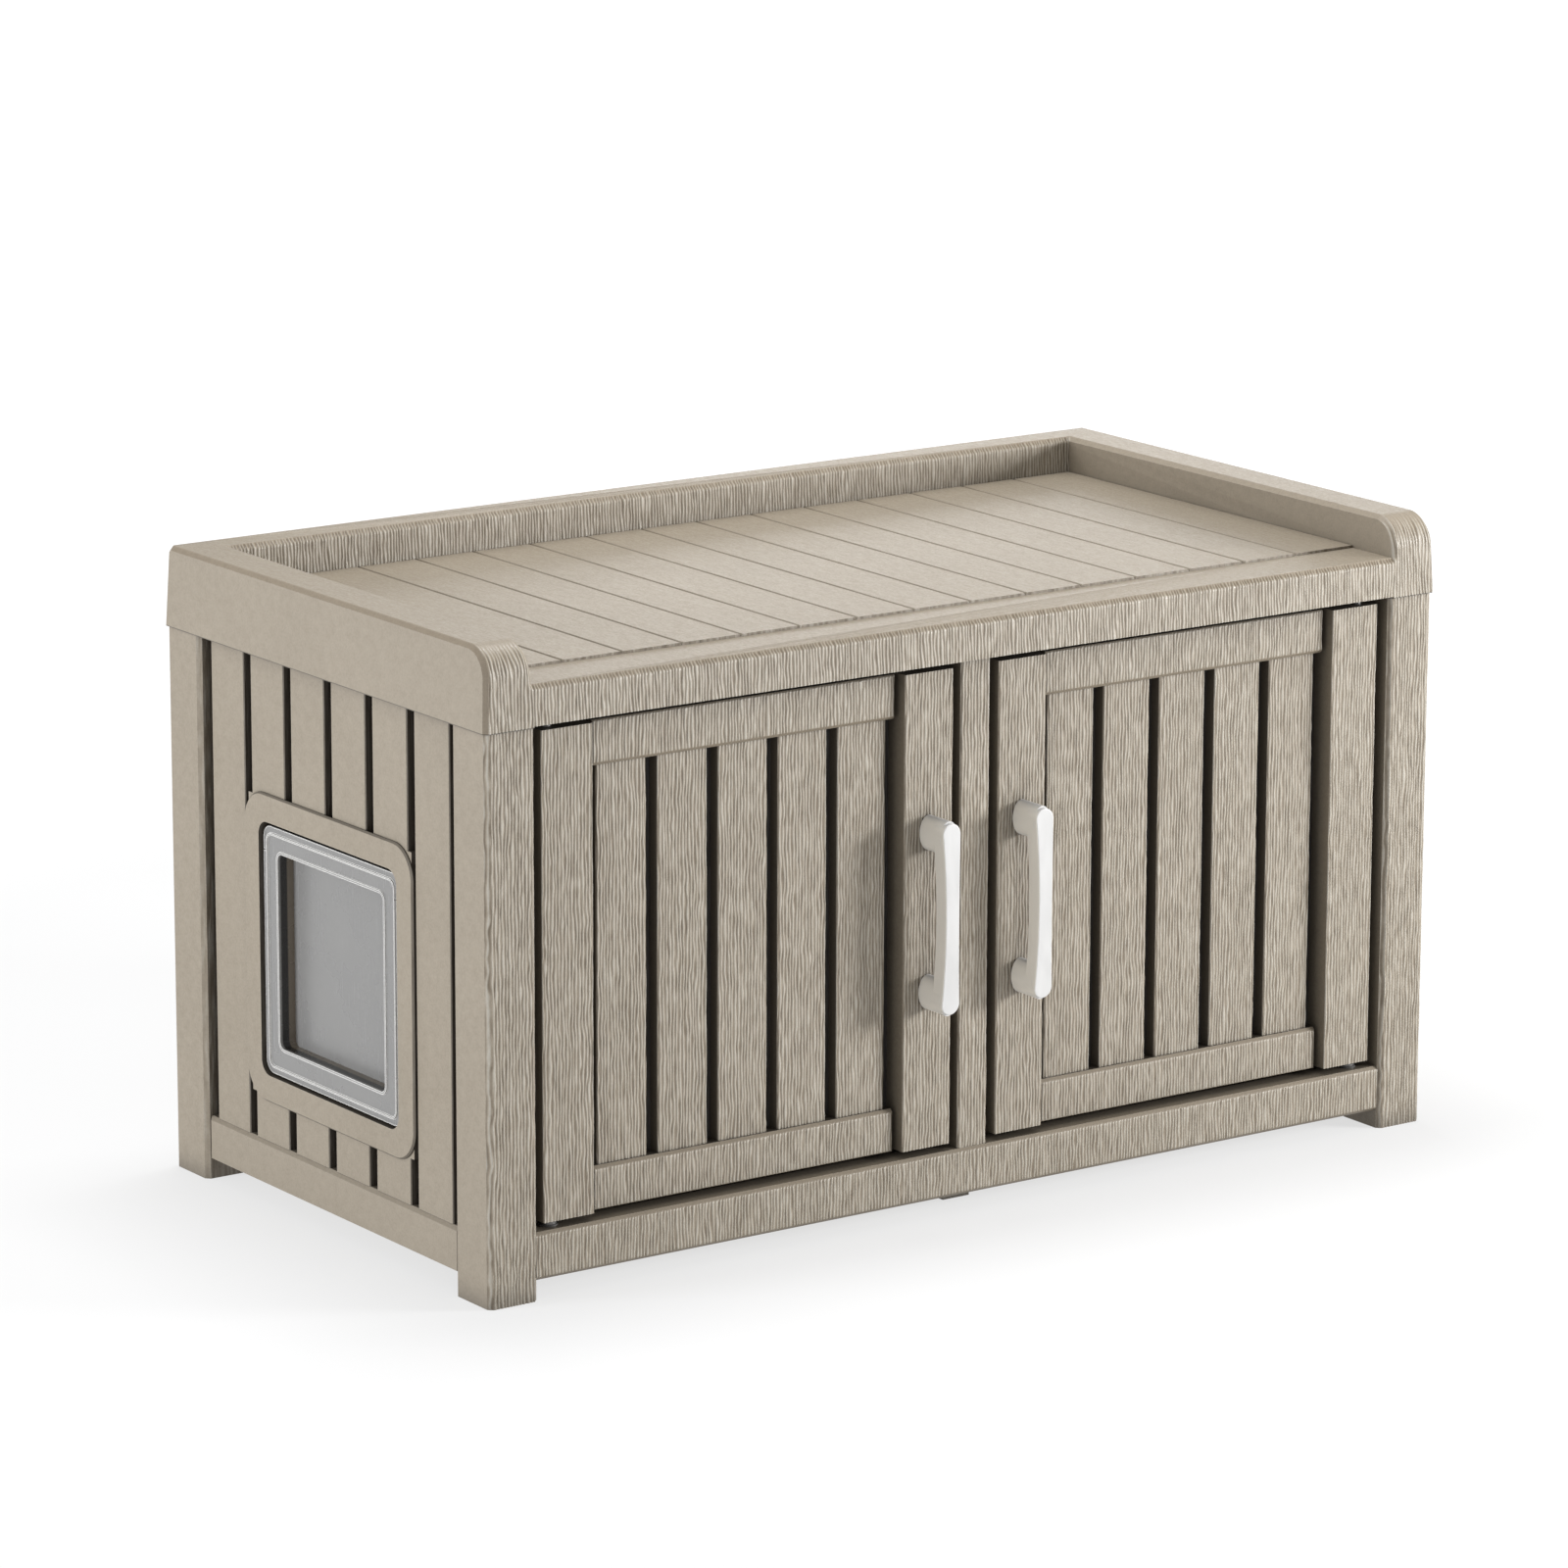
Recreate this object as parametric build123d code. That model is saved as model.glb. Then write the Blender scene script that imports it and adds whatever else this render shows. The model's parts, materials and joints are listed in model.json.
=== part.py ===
"""Slatted pet-house cabinet: bench-height box with a tray top, two hinged doors and a side flap.

Millimetres, +Z up. The origin is on the floor, at the middle of the overall footprint,
handles included. The doors face -Y and the flap is in the -X side. The makers below work
about the middle of the four legs; save() moves each sub-part from there to the origin.
"""
from build123d import *
import math
import os

# ---- overall size ----
leg_span_x = 910.0          # outer face to outer face of the legs, left to right
leg_span_y = 468.0          # outer face to outer face of the legs, front to back
tray_bottom_z = 445.5       # where the tray sits on the legs
tray_top_z = 510.0          # top of the gallery rail
edge_bevel = 3.6            # bevel on the long edges of the legs and the tray
rail_bevel = 3.0            # bevel along the base rails and the door rails
small_bevel = 2.4           # bevel on the upright edges of stiles and rails
slat_bevel = 0.8            # bevel on slats and planks
bond_gap = 0.05             # radial clearance round anything glued or pressed in
running_fit = 0.08          # radial clearance of a pin that turns in its bush
cut_past = 5.0              # how far a cutting shape runs past the face it cuts

# ---- legs ----
leg_x = 44.0
leg_y = 48.5

# ---- tray: skirt, gallery rail and front strip ----
skirt_overhang = 1.8        # how far the skirt's lower edge stands outside the legs
skirt_draft = 2.5           # degrees that the skirt leans inwards as it rises
side_rail_x = 40.5          # thickness of the side rails at their top
back_rail_y = 33.5
rail_inner_draft = 2.5
rail_end_radius = 26.0      # rounded front ends of the side rails
strip_z = 478.2             # top of the plain strip along the open front edge
strip_y = 51.5              # front to back width of that strip
deck_z = 480.4
deck_seat_z = 464.0         # ledge that carries the deck board
ledge = 16.0                # width of that ledge
side_beam_x = 42.0          # solid width of the skirt's sides beneath the rails
deck_pitch = 54.4
deck_grooves = 14
deck_groove_width = 3.2
deck_groove_depth = 2.0
rib_width = 6.0
rib_depth = 12.0
deck_ribs = 4
rib_end_gap = 2.0           # between a rib's end and the beams round it
deck_margin = 1.7           # the deck's pocket is narrower than the gallery by this on each side
fit_gap = 0.3               # clearance round a board that drops into a pocket

# ---- base rails and floor ----
base_set_back = 3.0
base_thick = 24.0
base_top_z = 52.6
front_base_bottom_z = 15.0
side_base_bottom_z = 18.0
floor_ledge = 12.0          # width of the ledge that carries the floor board
ledge_bottom_z = 22.0
floor_bottom_z = 30.0
floor_thick = 8.0
middle_foot_x = 25.5        # stub under the middle of the front rail's ledge
middle_foot_z = 5.0         # its underside

# ---- slatted walls ----
slat_set_back = 5.3         # face of the slats, behind the outer face of the legs
slat_depth = 8.0
wall_back = 19.3            # inner face of every wall, behind the outer face of the legs
side_slats = 6
side_slat_width = 49.6
side_groove = 10.4
back_slats = 13
back_slat_width = 51.6
back_groove = 10.4

# ---- flap opening, surround and flap ----
surround_y = 248.0
surround_z0 = 86.0
surround_z1 = 336.0
surround_corner = 27.0
surround_set_back = 2.8
surround_bevel = 1.4
backing_inset = 4.0         # the wall behind the surround is smaller than it by this
opening_y = 203.5
opening_z0 = 108.0
opening_z1 = 313.6
opening_corner = 12.0
inner_frame_y = 232.0
inner_frame_thick = 5.0
inner_frame_border = 14.0
inner_frame_bevel = 1.4
flap_gap = 1.8
flap_set_back = 6.4
flap_thick = 2.6
flap_corner = 10.5
flap_rim_inset = 5.0
flap_rim_width = 1.6
flap_rim_height = 1.3
window_y = 156.0
window_z0 = 133.0
window_z1 = 290.3
window_corner = 6.0
window_lip = 2.2            # width of the raised edge round the window
window_lip_height = 0.9
window_wall = 2.0
window_depth = 13.5
pivot_z = 294.3
pivot_set_back = 14.5       # in line with the flap's centre of mass, so it hangs shut
flap_pin_radius = 2.4
flap_boss_radius = 3.1
flap_boss_end = 2.0         # closed end of the boss past the pin
flap_pin_inside = 9.0
flap_pin_outside = 5.0
flap_bush_radius = 4.2
flap_bush_length = 7.0
bush_end = 1.5              # closed end of every bush
slit_length = 5.5
slit_height = 1.0
slit_below_boss = 1.2

# ---- doors ----
door_set_back = 5.7         # face of the stiles, behind the face of the legs
door_thick = 26.0
door_leg_gap = 8.5
door_post_gap = 7.9
door_bottom_z = 58.5
door_top_z = 440.9
stile_x = 46.0
door_rail_set_back = 12.8
rail_end_gap = 4.6
top_rail_bottom_z = 405.4
bottom_rail_top_z = 92.8
plank_set_back = 17.1
door_panel_thick = 4.0
door_planks = 5
plank_width = 45.5

# ---- centre post and catches ----
post_x = 28.2
post_set_back = 6.1
post_thick = 22.0
post_bevel = 1.2
catch_z0 = 396.0
catch_z1 = 424.0
catch_stem_x = 24.0
catch_span_x = 86.0
catch_thick = 11.0
catch_round = 3.0
catch_gap = 0.3             # between the catch and a closed door's strike plate
magnet_radius = 6.0
magnet_x = 33.0
magnet_recess = 6.0
magnet_below_face = 0.1
strike_x = 16.0
strike_z = 20.0
strike_thick = 1.0

# ---- door pivots ----
pivot_from_edge = 12.0
pivot_radius = 4.0
pivot_in_door = 20.0
pivot_in_frame = 10.0
bush_radius = 5.6
bush_flange_radius = 7.6
bush_flange = 1.4
bush_length = 12.0
collar_radius = 6.6         # collar on the lower pin that carries the door's weight
collar_gap = 0.1

# ---- handles ----
handle_z = 249.6
handle_spacing = 128.0      # between the two fixing screws
handle_reach = 33.0
handle_post_x = 17.0
handle_post_z = 28.0
handle_post_end = 3.0       # the posts stop this far behind the front of the bar
handle_length = 153.0       # tip to tip
handle_bar_end_x = 17.0
handle_bar_waist_x = 13.0
handle_bar_depth = 13.0
handle_bow = 3.0
handle_edge_round = 1.0
screw_radius = 2.0
screw_clearance = 0.4       # round each screw where it passes through the stile
screw_tip_gap = 1.0
screw_head_radius = 4.4
screw_head = 2.2
screw_in_handle = 14.0

# ---- corner pegs ----
peg_radius = 7.0
peg_in_leg = 25.0
peg_in_tray = 12.0
peg_clearance = 0.15

# ---- derived positions ----
left_face = -leg_span_x / 2
right_face = leg_span_x / 2
front_face = -leg_span_y / 2
back_face = leg_span_y / 2
between_legs_x = leg_span_x / 2 - leg_x
between_legs_y = leg_span_y / 2 - leg_y
door_outer_x = between_legs_x - door_leg_gap
door_inner_x = post_x / 2 + door_post_gap
door_front_y = front_face + door_set_back
door_back_y = door_front_y + door_thick
hinge_x = door_outer_x - pivot_from_edge
hinge_y = door_front_y + door_thick / 2
tray_height = tray_top_z - tray_bottom_z
pocket_y = back_face - back_rail_y
handle_front = door_front_y - handle_reach
origin_y = (handle_front + back_face + skirt_overhang) / 2


def block(x0, x1, y0, y1, z0, z1):
    """A box between two corners."""
    size = (abs(x1 - x0), abs(y1 - y0), abs(z1 - z0))
    return Pos((x0 + x1) / 2, (y0 + y1) / 2, (z0 + z1) / 2) * Box(*size)


def rod(radius, start, end):
    """A straight cylinder between two points that differ along one axis."""
    line = Vector(*end) - Vector(*start)
    plane = Plane(origin=start, z_dir=line)
    return extrude(plane * Circle(radius), amount=line.length)


def edges_at(shape, axis, **place):
    """The straight edges of a shape that run along an axis and lie at the given coordinates."""
    def matches(edge):
        centre = edge.center()
        return all(abs(getattr(centre, name.upper()) - value) < 0.05 for name, value in place.items())
    return [edge for edge in shape.edges().filter_by(axis) if matches(edge)]


def bevel(shape, length, axis, **place):
    """Bevel the straight edges that edges_at finds."""
    return chamfer(edges_at(shape, axis, **place), length)


def save(node, shape):
    """Move one sub-part to the origin and write it."""
    export_step(Pos(0, -origin_y, 0) * shape, f"parts/{node}.step")


def save_pair(name, shape):
    """Write a left part and its mirror image."""
    save(f"{name}_left", shape)
    save(f"{name}_right", mirror(shape, about=Plane.YZ))


# ---- legs and corner pegs ----
def make_leg(back):
    """The left leg at the front or the back, with a blind hole for its corner peg."""
    y0 = back_face - leg_y if back else front_face
    leg = block(left_face, left_face + leg_x, y0, y0 + leg_y, 0, tray_bottom_z)
    leg = chamfer(leg.edges().filter_by(Axis.Z), edge_bevel)
    x, y = peg_place(back)
    hole = rod(peg_radius + peg_clearance, (x, y, tray_bottom_z - peg_in_leg), (x, y, tray_bottom_z))
    return leg - hole


def peg_place(back):
    """Where the left corner peg stands, seen from above."""
    y = back_face - leg_y / 2 if back else front_face + leg_y / 2
    return left_face + leg_x / 2, y


def make_pegs():
    """The four pegs that locate the tray on the legs."""
    pegs = []
    for back in (False, True):
        x, y = peg_place(back)
        low = tray_bottom_z - peg_in_leg
        peg = rod(peg_radius, (x, y, low), (x, y, tray_bottom_z + peg_in_tray))
        pegs += [peg, mirror(peg, about=Plane.YZ)]
    return Compound(pegs)


# ---- base rails and floor ----
def make_base_rail_x(back):
    """A base rail along X, with the ledge for the floor; the front one also has a stub foot."""
    face = back_face - base_set_back if back else front_face + base_set_back
    inward = -1 if back else 1
    inner = face + inward * base_thick
    rail = block(-between_legs_x, between_legs_x, face, inner, front_base_bottom_z, base_top_z)
    rail = bevel(rail, rail_bevel, Axis.X, y=face, z=base_top_z)
    rail = bevel(rail, small_bevel, Axis.Z, y=face)
    ledge_inner = inner + inward * floor_ledge
    rail += block(-between_legs_x, between_legs_x, inner, ledge_inner, ledge_bottom_z, floor_bottom_z)
    if not back:
        half_foot = middle_foot_x / 2
        rail += block(-half_foot, half_foot, inner, ledge_inner, middle_foot_z, ledge_bottom_z)
        for side in (-1, 1):
            x = side * hinge_x
            low = base_top_z - bush_length
            rail -= rod(bush_radius, (x, hinge_y, low), (x, hinge_y, base_top_z))
    return rail


def make_base_rail_y():
    """The left base rail between the front and back legs."""
    face = left_face + base_set_back
    inner = face + base_thick
    rail = block(face, inner, -between_legs_y, between_legs_y, side_base_bottom_z, base_top_z)
    rail = bevel(rail, rail_bevel, Axis.Y, x=face, z=base_top_z)
    rail = bevel(rail, small_bevel, Axis.Z, x=face)
    rail += block(inner, inner + floor_ledge, -between_legs_y, between_legs_y, ledge_bottom_z, floor_bottom_z)
    return rail


def make_floor():
    """The floor board, notched round the legs, resting on the ledges."""
    half_x = leg_span_x / 2 - base_set_back - base_thick - fit_gap
    half_y = leg_span_y / 2 - base_set_back - base_thick - fit_gap
    top = floor_bottom_z + floor_thick
    board = block(-half_x, half_x, -half_y, half_y, floor_bottom_z, top)
    for x_side in (-1, 1):
        for y_side in (-1, 1):
            x = x_side * (between_legs_x - fit_gap)
            y = y_side * (between_legs_y - fit_gap)
            board -= block(x, x_side * leg_span_x, y, y_side * leg_span_y, 0, tray_bottom_z)
    return board


# ---- slatted walls ----
def slat_starts(count, width, groove):
    """The lower edge of each slat in a row centred on zero."""
    total = count * width + (count - 1) * groove
    return [-total / 2 + i * (width + groove) for i in range(count)]


def make_side_wall(with_opening):
    """The left wall: a thin board with raised slats, and the flap opening if it has one."""
    face = left_face + slat_set_back
    board_face = face + slat_depth
    inner = left_face + wall_back
    wall = block(board_face, inner, -between_legs_y, between_legs_y, base_top_z, tray_bottom_z)
    for start in slat_starts(side_slats, side_slat_width, side_groove):
        slat = block(face, board_face, start, start + side_slat_width, base_top_z, tray_bottom_z)
        slat = bevel(slat, slat_bevel, Axis.Z, x=face)
        wall += slat
    if with_opening:
        half_y = surround_y / 2 - backing_inset
        z0, z1 = surround_z0 + backing_inset, surround_z1 - backing_inset
        wall += block(face, board_face, -half_y, half_y, z0, z1)
        wall -= flap_opening(face, inner)
        wall -= make_flap_bores(flap_bush_radius)
    return wall


def make_back_wall():
    """The back wall, slatted like the sides."""
    face = back_face - slat_set_back
    board_face = face - slat_depth
    inner = back_face - wall_back
    wall = block(-between_legs_x, between_legs_x, inner, board_face, base_top_z, tray_bottom_z)
    for start in slat_starts(back_slats, back_slat_width, back_groove):
        slat = block(start, start + back_slat_width, board_face, face, base_top_z, tray_bottom_z)
        slat = bevel(slat, slat_bevel, Axis.Z, y=face)
        wall += slat
    return wall


# ---- flap surround, inner frame and flap ----
def opening_prism(x0, x1, width, z0, z1, corner):
    """A rounded rectangle in the side wall's plane, from x0 to x1."""
    plane = Plane(origin=(x0, 0, (z0 + z1) / 2), x_dir=(0, 1, 0), z_dir=(1, 0, 0))
    return extrude(plane * RectangleRounded(width, z1 - z0, corner), amount=x1 - x0)


def flap_opening(x0, x1):
    """The cutter for the flap opening, running past both faces."""
    return opening_prism(x0 - cut_past, x1 + cut_past, opening_y, opening_z0, opening_z1, opening_corner)


def make_flap_bores(radius):
    """The two blind bores beside the opening that take the flap's bushes."""
    x = left_face + pivot_set_back
    bores = []
    for side in (-1, 1):
        start = side * opening_y / 2
        bores.append(rod(radius, (x, start, pivot_z), (x, start + side * flap_bush_length, pivot_z)))
    return Compound(bores)


def make_surround():
    """The raised plate round the flap opening."""
    x0 = left_face + surround_set_back
    x1 = left_face + slat_set_back
    plate = opening_prism(x0, x1, surround_y, surround_z0, surround_z1, surround_corner)
    plate = chamfer(plate.faces().sort_by(Axis.X)[0].edges(), surround_bevel)
    return plate - flap_opening(x0, x1)


def make_inner_frame():
    """The frame on the inside of the wall that trims the flap opening."""
    x0 = left_face + wall_back
    x1 = x0 + inner_frame_thick
    z0 = opening_z0 - inner_frame_border
    z1 = opening_z1 + inner_frame_border
    plate = opening_prism(x0, x1, inner_frame_y, z0, z1, surround_corner)
    plate = chamfer(plate.faces().sort_by(Axis.X)[-1].edges(), inner_frame_bevel)
    return plate - flap_opening(x0, x1)


def make_flap_border():
    """The flap's flat border: a raised rim near its edge, the pin bosses and the hole for the window."""
    x0 = left_face + flap_set_back
    x1 = x0 + flap_thick
    width = opening_y - 2 * flap_gap
    z0 = opening_z0 + flap_gap
    z1 = opening_z1 - 2 * flap_gap
    border = opening_prism(x0, x1, width, z0, z1, flap_corner)
    rim_width = width - 2 * flap_rim_inset
    rim_z = (z0 + flap_rim_inset, z1 - flap_rim_inset)
    rim_corner = flap_corner - flap_rim_inset / 2
    rim = opening_prism(x0 - flap_rim_height, x0, rim_width, *rim_z, rim_corner)
    rim -= opening_prism(x0 - cut_past, x0 + cut_past, rim_width - 2 * flap_rim_width,
                         rim_z[0] + flap_rim_width, rim_z[1] - flap_rim_width, rim_corner - flap_rim_width)
    border += rim
    x = left_face + pivot_set_back
    for side in (-1, 1):
        outer = side * width / 2
        inner = side * (width / 2 - flap_pin_inside)
        past = outer + side * cut_past
        boss_end = inner - side * flap_boss_end
        border += rod(flap_boss_radius, (x, boss_end, pivot_z), (x, outer, pivot_z))
        border += block(x1, x, boss_end, outer, pivot_z - flap_boss_radius, pivot_z + flap_boss_radius)
        border -= rod(flap_pin_radius + bond_gap, (x, inner, pivot_z), (x, past, pivot_z))
        slit_z = pivot_z - flap_boss_radius - slit_below_boss
        border -= block(x0 - cut_past, x1 + cut_past, outer - side * slit_length, past,
                        slit_z - slit_height, slit_z)
    return border - window_prism(x0 - cut_past, x1 + cut_past, window_wall)


def window_prism(x0, x1, margin):
    """The window's outline, grown by a margin, from x0 to x1."""
    return opening_prism(x0, x1, window_y + 2 * margin, window_z0 - margin, window_z1 + margin,
                         window_corner + margin)


def make_flap_window():
    """The flap's window: a shallow tray, open towards the outside, with a raised lip round its mouth."""
    x0 = left_face + flap_set_back
    window = window_prism(x0 - window_lip_height, x0, window_lip)
    window += window_prism(x0, x0 + window_depth + flap_thick, window_wall)
    return window - window_prism(x0 - cut_past, x0 + window_depth, 0)


def make_flap_pins():
    """The two pins that the flap hangs from."""
    x = left_face + pivot_set_back
    width = opening_y - 2 * flap_gap
    pins = []
    for side in (-1, 1):
        inner = side * (width / 2 - flap_pin_inside)
        outer = side * (width / 2 + flap_pin_outside)
        pins.append(rod(flap_pin_radius, (x, inner, pivot_z), (x, outer, pivot_z)))
    return Compound(pins)


def make_flap_bushes():
    """The two bushes in the wall that the flap's pins turn in."""
    x = left_face + pivot_set_back
    bushes = []
    for side in (-1, 1):
        start = side * opening_y / 2
        end = start + side * flap_bush_length
        bush = rod(flap_bush_radius - bond_gap, (x, start, pivot_z), (x, end, pivot_z))
        bush -= rod(flap_pin_radius + running_fit, (x, start, pivot_z), (x, end - side * bush_end, pivot_z))
        bushes.append(bush)
    return Compound(bushes)


# ---- tray and deck ----
def make_tray():
    """The skirt, front strip and three-sided gallery rail, moulded in one piece."""
    outline = Rectangle(leg_span_x + 2 * skirt_overhang, leg_span_y + 2 * skirt_overhang)
    body = extrude(Plane.XY.offset(tray_bottom_z) * outline, amount=tray_height, taper=skirt_draft)
    body = body - make_gallery_pocket()
    body = round_rail_ends(body)
    body = bevel_tray(body)
    deck_half_x = leg_span_x / 2 - side_rail_x - deck_margin
    deck_front = front_face + strip_y
    deck_back = pocket_y - deck_margin
    body -= block(-deck_half_x, deck_half_x, deck_front, deck_back, deck_seat_z, deck_z + fit_gap)
    half_x = leg_span_x / 2 - side_beam_x - ledge
    low, high = tray_bottom_z - cut_past, deck_seat_z + cut_past
    body -= block(-half_x, half_x, deck_front + ledge, deck_back - ledge, low, high)
    for back in (False, True):
        x, y = peg_place(back)
        for side in (-1, 1):
            body -= rod(peg_radius + peg_clearance, (side * x, y, tray_bottom_z),
                        (side * x, y, tray_bottom_z + peg_in_tray))
    for side in (-1, 1):
        x = side * hinge_x
        body -= rod(bush_radius, (x, hinge_y, tray_bottom_z), (x, hinge_y, tray_bottom_z + bush_length))
    return body


def make_gallery_pocket():
    """What the gallery encloses: everything above the strip, between the rails, open at the front."""
    depth = tray_top_z - strip_z
    half_x = leg_span_x / 2 - side_rail_x
    spill = 120.0
    length = pocket_y - front_face + spill
    top = Plane.XY.offset(tray_top_z) * Pos(0, pocket_y - length / 2) * Rectangle(2 * half_x, length)
    return extrude(top, amount=-depth, taper=rail_inner_draft)


def round_rail_ends(body):
    """Round the top front end of each side rail."""
    corner_z = tray_top_z - rail_end_radius
    lean = math.tan(math.radians(skirt_draft)) * (corner_z - tray_bottom_z)
    corner_y = front_face - skirt_overhang + lean + rail_end_radius
    x0, x1 = left_face - cut_past, right_face + cut_past
    cutter = block(x0, x1, front_face - cut_past, corner_y, corner_z, tray_top_z + cut_past)
    cutter -= rod(rail_end_radius, (x0 - cut_past, corner_y, corner_z), (x1 + cut_past, corner_y, corner_z))
    return body - cutter


def bevel_tray(body):
    """Bevel the long top edges of the rails, the front strip and the corners of the skirt."""
    picked = []
    for edge in body.edges():
        box = edge.bounding_box()
        across_rail = 10 < box.max.X - box.min.X < 100
        under_skirt = box.max.Z < tray_bottom_z + 0.1
        round_pocket = box.max.Z < strip_z + 0.1 and box.max.Y > 0
        inside_corner = box.min.Y > 0 and box.max.Z - box.min.Z > 10 and abs(box.min.X) < between_legs_x + 10
        if not (across_rail or under_skirt or round_pocket or inside_corner):
            picked.append(edge)
    return chamfer(picked, edge_bevel)


def make_deck():
    """The deck board, with grooves between its planks and ribs beneath."""
    half_x = leg_span_x / 2 - side_rail_x - deck_margin - fit_gap
    y0 = front_face + strip_y + fit_gap
    y1 = pocket_y - deck_margin - fit_gap
    deck = block(-half_x, half_x, y0, y1, deck_seat_z, deck_z)
    for i in range(deck_grooves):
        x = (i - (deck_grooves - 1) / 2) * deck_pitch
        corners = ((-deck_groove_width / 2, 0), (deck_groove_width / 2, 0), (0, -deck_groove_depth))
        profile = Plane.XZ.offset(cut_past - y0) * Pos(x, deck_z) * Polygon(*corners, align=None)
        deck -= extrude(profile, amount=y1 - y0 + 2 * cut_past, dir=(0, 1, 0))
    rib_half_x = leg_span_x / 2 - side_beam_x - ledge - rib_end_gap
    inset = ledge + rib_end_gap
    for i in range(deck_ribs):
        y = y0 + inset + (i + 0.5) * (y1 - y0 - 2 * inset) / deck_ribs
        deck += block(-rib_half_x, rib_half_x, y - rib_width / 2, y + rib_width / 2,
                      deck_seat_z - rib_depth, deck_seat_z)
    return deck


# ---- centre post and catch ----
def make_post():
    """The post between the two doors."""
    y0 = front_face + post_set_back
    post = block(-post_x / 2, post_x / 2, y0, y0 + post_thick, base_top_z, tray_bottom_z)
    return bevel(post, post_bevel, Axis.Z, y=y0)


def make_catch():
    """The double magnetic catch behind the post, which also stops the doors."""
    y0 = front_face + post_set_back + post_thick
    y1 = door_back_y + strike_thick + catch_gap
    y2 = y1 + catch_thick
    half = catch_span_x / 2
    catch = block(-catch_stem_x / 2, catch_stem_x / 2, y0, y1, catch_z0, catch_z1)
    bar = block(-half, half, y1, y2, catch_z0, catch_z1)
    bar = fillet(bar.edges().filter_by(Axis.Y), catch_round)
    catch += bar
    z = (catch_z0 + catch_z1) / 2
    for side in (-1, 1):
        x = side * magnet_x
        catch -= rod(magnet_radius, (x, y1, z), (x, y1 + magnet_recess, z))
    return catch


def make_magnets():
    """The two magnets in the catch."""
    y1 = door_back_y + strike_thick + catch_gap
    z = (catch_z0 + catch_z1) / 2
    magnets = []
    for side in (-1, 1):
        x = side * magnet_x
        magnets.append(rod(magnet_radius - bond_gap, (x, y1 + magnet_below_face, z), (x, y1 + magnet_recess, z)))
    return Compound(magnets)


# ---- door pivots ----
def make_frame_bushes(top):
    """The two flanged bushes, in the tray above the doors or in the base rail below them."""
    bushes = []
    seat = tray_bottom_z if top else base_top_z
    inward = 1 if top else -1
    for side in (-1, 1):
        x = side * hinge_x
        bush = rod(bush_radius - bond_gap, (x, hinge_y, seat), (x, hinge_y, seat + inward * bush_length))
        bush += rod(bush_flange_radius, (x, hinge_y, seat), (x, hinge_y, seat - inward * bush_flange))
        bore_end = seat + inward * (bush_length - bush_end)
        bush -= rod(pivot_radius + running_fit, (x, hinge_y, seat - inward * bush_flange), (x, hinge_y, bore_end))
        bushes.append(bush)
    return Compound(bushes)


def make_pivot_pins():
    """The left door's upper and lower pivot pins; the lower one has a collar that carries the door."""
    x = -hinge_x
    door_hole_top, door_hole_low = door_top_z - pivot_in_door, door_bottom_z + pivot_in_door
    upper = rod(pivot_radius, (x, hinge_y, door_hole_top), (x, hinge_y, tray_bottom_z + pivot_in_frame))
    lower = rod(pivot_radius, (x, hinge_y, base_top_z - pivot_in_frame), (x, hinge_y, door_hole_low))
    collar_low = base_top_z + bush_flange + collar_gap
    lower += rod(collar_radius, (x, hinge_y, collar_low), (x, hinge_y, door_bottom_z))
    return Compound([upper, lower])


# ---- left door ----
def make_hinge_stile():
    """The stile that holds the pivot pins."""
    x0, x1 = -door_outer_x, -door_outer_x + stile_x
    stile = block(x0, x1, door_front_y, door_back_y, door_bottom_z, door_top_z)
    stile = bevel(stile, small_bevel, Axis.Z, y=door_front_y)
    hole = pivot_radius + bond_gap
    stile -= rod(hole, (-hinge_x, hinge_y, door_bottom_z), (-hinge_x, hinge_y, door_bottom_z + pivot_in_door))
    stile -= rod(hole, (-hinge_x, hinge_y, door_top_z - pivot_in_door), (-hinge_x, hinge_y, door_top_z))
    return stile


def make_meeting_stile():
    """The stile that carries the handle, drilled for its two screws."""
    x0, x1 = -door_inner_x - stile_x, -door_inner_x
    stile = block(x0, x1, door_front_y, door_back_y, door_bottom_z, door_top_z)
    stile = bevel(stile, small_bevel, Axis.Z, y=door_front_y)
    for z in screw_heights():
        x = handle_x()
        stile -= rod(screw_radius + screw_clearance, (x, door_front_y, z), (x, door_back_y, z))
    return stile


def inner_opening():
    """The left and right limits between the left door's stiles."""
    return -door_outer_x + stile_x, -door_inner_x - stile_x


def make_door_panel():
    """The thin board behind the rails and planks."""
    x0, x1 = inner_opening()
    return block(x0, x1, door_back_y - door_panel_thick, door_back_y, door_bottom_z, door_top_z)


def make_door_rail(top):
    """A rail between the stiles, on the face of the panel."""
    x0, x1 = inner_opening()
    y0 = front_face + door_rail_set_back
    y1 = door_back_y - door_panel_thick
    z0 = top_rail_bottom_z if top else door_bottom_z
    z1 = door_top_z if top else bottom_rail_top_z
    rail = block(x0 + rail_end_gap, x1 - rail_end_gap, y0, y1, z0, z1)
    rail = bevel(rail, small_bevel, Axis.Z, y=y0)
    return bevel(rail, rail_bevel, Axis.X, y=y0, z=z0 if top else z1)


def make_door_planks():
    """The five planks between the rails."""
    x0, x1 = inner_opening()
    gap = (x1 - x0 - door_planks * plank_width) / (door_planks + 1)
    y0 = front_face + plank_set_back
    y1 = door_back_y - door_panel_thick
    planks = []
    for i in range(door_planks):
        start = x0 + gap + i * (plank_width + gap)
        plank = block(start, start + plank_width, y0, y1, bottom_rail_top_z, top_rail_bottom_z)
        planks.append(bevel(plank, slat_bevel, Axis.Z, y=y0))
    return Compound(planks)


def handle_x():
    """The middle of the left door's meeting stile."""
    return -door_inner_x - stile_x / 2


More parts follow.
